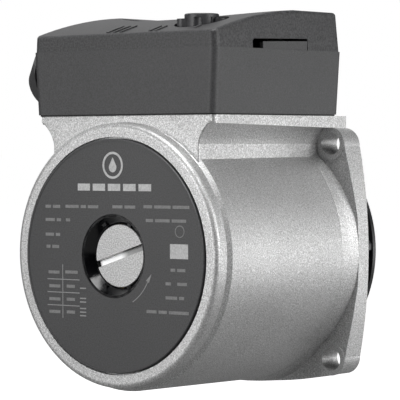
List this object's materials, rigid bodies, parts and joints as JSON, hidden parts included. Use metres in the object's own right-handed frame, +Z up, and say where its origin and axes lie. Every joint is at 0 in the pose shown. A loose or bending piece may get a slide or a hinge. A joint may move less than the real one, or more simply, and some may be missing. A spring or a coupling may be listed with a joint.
{
  "type": "circulator pump motor head",
  "caption": "Wet-rotor circulator motor head: cast stator housing with square flange, terminal box with lift-off lid and speed knob, nameplate, vent plug, rotor and impeller.",
  "frame": {"origin": "centre of the flange's rear mating face, on the shaft axis", "axes": "+Y along the shaft from the nameplate to the impeller, +Z up to the terminal box, +X to the right seen from the nameplate"},
  "size_m": [0.1002, 0.0996, 0.1318],
  "materials": {
    "cast_aluminium": "bead-blasted die casting",
    "nameplate": "satin",
    "gloss_black": "gloss",
    "nickel_brass": "satin nickel",
    "rubber": "matt",
    "brass": "machined",
    "stainless": "drawn",
    "carbon": "matt carbon",
    "electrical_steel": "stacked sheet",
    "copper_enamel": "varnished",
    "polished_steel": "ground",
    "ring_aluminium": "cast",
    "impeller_black": "satin",
    "box_plastic": "fine spark-eroded grain",
    "knob_plastic": "satin",
    "zinc_steel": "zinc plated",
    "pale_plastic": "smooth",
    "dark_plastic": "smooth",
    "lead_insulation": "smooth"
  },
  "bodies": {
    "root": {"stator_housing": "cast_aluminium", "nameplate": "nameplate", "vent_guard": "gloss_black", "vent_bush": "brass", "rotor_can": "stainless", "front_bearing": "carbon", "front_bearing_holder": "stainless", "bearing_plate": "stainless", "rear_bearing": "carbon", "flange_seal": "rubber", "stator_core": "electrical_steel", "main_winding": "copper_enamel", "auxiliary_winding": "copper_enamel", "terminal_box_base": "box_plastic", "box_gasket": "rubber", "lid_seal": "rubber", "switch_body": "dark_plastic", "switch_contacts": "brass", "capacitor": "pale_plastic", "capacitor_clip": "dark_plastic", "terminal_block": "pale_plastic", "terminal_screws": "zinc_steel", "winding_connector": "pale_plastic", "winding_leads": "lead_insulation", "box_screws": "zinc_steel", "earth_terminal": "brass", "earth_screw": "zinc_steel", "cable_clamp": "dark_plastic", "clamp_posts": "box_plastic", "clamp_screws": "zinc_steel", "gland_body": "dark_plastic", "gland_seal": "rubber", "gland_hood": "box_plastic"},
    "rotor": {"shaft": "polished_steel", "rotor_core": "electrical_steel", "rotor_end_rings": "ring_aluminium", "rotor_sleeve": "stainless", "thrust_ring": "carbon", "thrust_cushion": "rubber", "impeller": "impeller_black", "split_cone": "stainless"},
    "vent_seal_body": {"vent_plug_seal": "rubber"},
    "vent_plug_body": {"vent_plug": "nickel_brass"},
    "lid": {"terminal_box_lid": "box_plastic", "lid_screws": "zinc_steel"},
    "knob": {"speed_knob": "knob_plastic", "knob_spindle": "pale_plastic"}
  },
  "joints": [
    {"name": "rotor_spin", "type": "hinge", "parent": "root", "child": "rotor", "pos_m": [0, 0, 0], "axis": [0, 1, 0], "continuous": true},
    {"name": "vent_seal_slide", "type": "slide", "parent": "root", "child": "vent_seal_body", "axis": [0, -1, 0], "range_m": [0, 0.006]},
    {"name": "vent_plug_turn", "type": "hinge", "parent": "vent_seal_body", "child": "vent_plug_body", "pos_m": [0, -0.0774, 0], "axis": [0, -1, 0], "range_deg": [0, 1440]},
    {"name": "speed_select", "type": "hinge", "parent": "root", "child": "knob", "pos_m": [0.0235, -0.0615, 0.0776], "axis": [0, 0, -1], "range_deg": [0, 100]},
    {"name": "lid_lift", "type": "slide", "parent": "root", "child": "lid", "axis": [0, 0, 1], "range_m": [0, 0.04]}
  ],
  "couplings": [
    {"joint": "vent_seal_slide", "follows": "vent_plug_turn", "m_per_rad": 0.00023873}
  ]
}
